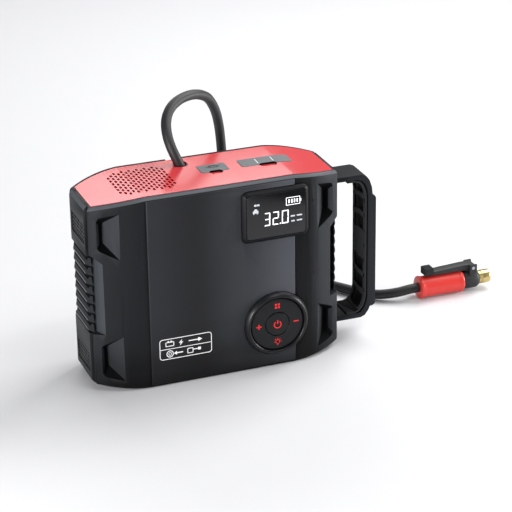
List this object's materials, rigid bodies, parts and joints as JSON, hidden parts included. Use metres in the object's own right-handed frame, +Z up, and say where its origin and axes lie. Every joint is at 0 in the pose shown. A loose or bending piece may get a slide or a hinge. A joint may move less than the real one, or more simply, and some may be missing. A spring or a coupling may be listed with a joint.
{
  "type": "jump starter pack with air compressor",
  "caption": "Flat hand-carried car battery booster and tyre inflator with a display, a round keypad, flaps over the sockets, a side handle and an air hose with a lever chuck.",
  "frame": {"origin": "middle of the housing, on its underside", "axes": "+Z up, +X towards the carrying handle, -Y towards the display and the keypad"},
  "size_m": [0.3776, 0.1485, 0.207],
  "materials": {
    "shell_black": "fine matt moulding",
    "base_black": "matt moulding",
    "fascia_satin": "satin",
    "panel_red": "satin red",
    "flap_grey": "matt",
    "display_glass": "polished black",
    "inner_black": "matt",
    "gloss_ring": "gloss",
    "key_black": "satin",
    "nylon": "natural nylon",
    "silicone": "matt",
    "board_green": "solder mask",
    "clear_lens": "clear ribbed",
    "white_plastic": "white",
    "grip_rubber": "matt",
    "lead_red": "sleeve",
    "hose_rubber": "matt",
    "steel": "plain",
    "alloy": "cast",
    "cell_wrap": "shrink wrap",
    "chuck_red": "satin red",
    "brass": "turned"
  },
  "bodies": {
    "housing": {"air_hose": "hose_rubber", "air_tube": "hose_rubber", "battery_cell_1": "cell_wrap", "battery_cell_2": "cell_wrap", "battery_cell_3": "cell_wrap", "battery_cell_4": "cell_wrap", "battery_tray": "inner_black", "bottom_panel": "base_black", "case_screw_1": "steel", "case_screw_2": "steel", "case_screw_3": "steel", "case_screw_4": "steel", "chuck_body": "chuck_red", "chuck_head": "inner_black", "chuck_nozzle": "brass", "chuck_pin": "steel", "compressor_base": "inner_black", "cylinder_head": "alloy", "display_bezel": "shell_black", "display_glass": "display_glass", "display_module": "inner_black", "front_fascia": "fascia_satin", "front_shell": "shell_black", "gear_plate": "alloy", "handle_pad": "grip_rubber", "handle_strap": "shell_black", "hose_gland": "inner_black", "hose_well": "inner_black", "jump_socket": "inner_black", "key_sheet": "silicone", "keypad_board": "board_green", "keypad_ring": "gloss_ring", "lamp_board": "board_green", "lamp_lens": "clear_lens", "lamp_reflector": "white_plastic", "left_end_panel": "shell_black", "main_board": "board_green", "motor_can": "steel", "port_block": "inner_black", "power_lead_minus": "hose_rubber", "power_lead_plus": "lead_red", "pump_body": "alloy", "rear_shell": "shell_black", "right_end_panel": "shell_black", "top_panel": "panel_red"},
    "ok_button": {"ok_button": "key_black"},
    "nav_pivot": {"nav_pivot_ring": "nylon"},
    "nav_disc": {"nav_disc": "key_black"},
    "jump_flap": {"jump_flap": "flap_grey"},
    "usb_flap": {"usb_flap": "flap_grey"},
    "drive_gear": {"drive_gear": "nylon"},
    "motor_rotor": {"motor_rotor": "steel", "cooling_fan": "inner_black"},
    "chuck_lever": {"chuck_lever": "inner_black"}
  },
  "joints": [
    {"name": "ok_press", "type": "slide", "parent": "housing", "child": "ok_button", "axis": [0, 1, 0], "range_m": [0, 0.0008], "stiffness_N_per_m": 1500},
    {"name": "nav_tilt_side", "type": "hinge", "parent": "housing", "child": "nav_pivot", "pos_m": [0.0445, -0.0382, 0.0385], "axis": [0, 0, 1], "range_deg": [-1.2, 1.2], "stiffness_Nm_per_rad": 2},
    {"name": "nav_tilt_up", "type": "hinge", "parent": "nav_pivot", "child": "nav_disc", "pos_m": [0.0445, -0.0382, 0.0385], "axis": [1, 0, 0], "range_deg": [-1.2, 1.2], "stiffness_Nm_per_rad": 2},
    {"name": "jump_flap_hinge", "type": "hinge", "parent": "housing", "child": "jump_flap", "pos_m": [0.00795, 0.0104, 0.1624], "axis": [-1, 0, 0], "range_deg": [0, 110]},
    {"name": "usb_flap_hinge", "type": "hinge", "parent": "housing", "child": "usb_flap", "pos_m": [0.0515, 0.0104, 0.1624], "axis": [-1, 0, 0], "range_deg": [0, 110]},
    {"name": "gear_spin", "type": "hinge", "parent": "housing", "child": "drive_gear", "pos_m": [-0.0375, 0, 0.0708], "axis": [1, 0, 0], "continuous": true},
    {"name": "rotor_spin", "type": "hinge", "parent": "housing", "child": "motor_rotor", "pos_m": [-0.0375, 0, 0.042], "axis": [1, 0, 0], "continuous": true},
    {"name": "lever_swing", "type": "hinge", "parent": "housing", "child": "chuck_lever", "pos_m": [0.25455, 0.036, 0.0224], "axis": [0, 1, 0], "range_deg": [0, 90]}
  ],
  "couplings": [
    {"joint": "rotor_spin", "follows": "gear_spin", "ratio": -3}
  ]
}
